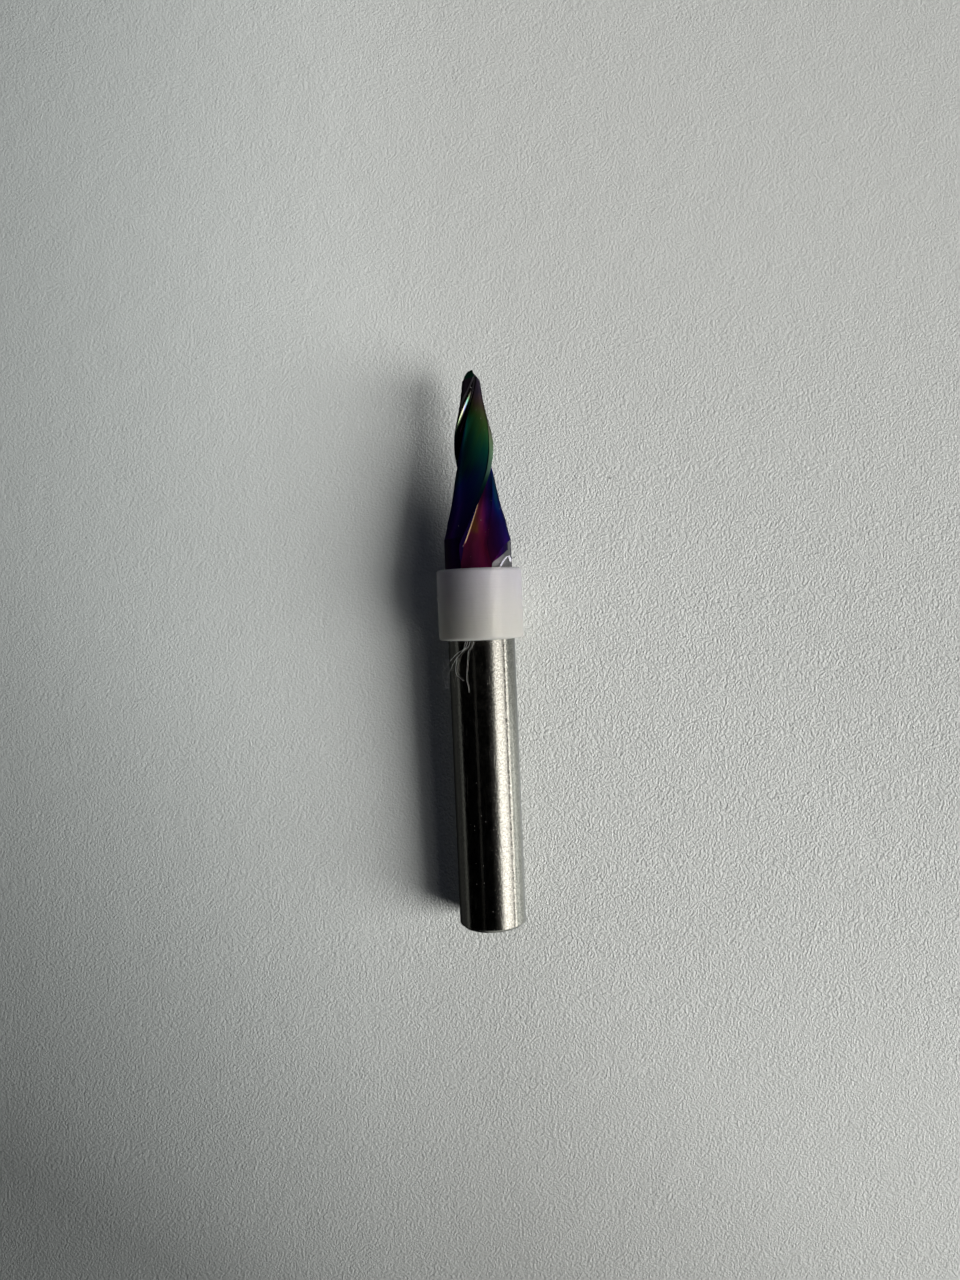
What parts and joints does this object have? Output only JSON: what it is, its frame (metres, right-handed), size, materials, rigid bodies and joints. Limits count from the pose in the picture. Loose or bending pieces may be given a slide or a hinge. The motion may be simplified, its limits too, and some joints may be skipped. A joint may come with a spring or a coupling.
{
  "type": "tapered ball nose end mill",
  "caption": "Slim fluted cutter with a tapered, ball-tipped nose, a rainbow coat on its flutes, a plain round shank and a white plastic depth ring pressed on the shank.",
  "frame": {"origin": "middle of the shank's flat end face, which the tool stands on", "axes": "+Z along the tool's axis from the shank end to the ball tip; -Y is the side that the picture shows, +X to its right"},
  "size_m": [0.0076, 0.0076, 0.05],
  "materials": {
    "end_mill": "fine ground carbide with a bright shank; the fluted part has a smooth rainbow-coloured coat, green at the tip, blue and purple below",
    "depth_ring": "white moulded nylon with a soft sheen"
  },
  "bodies": {
    "root": {"end_mill": "end_mill", "depth_ring": "depth_ring"}
  },
  "joints": []
}
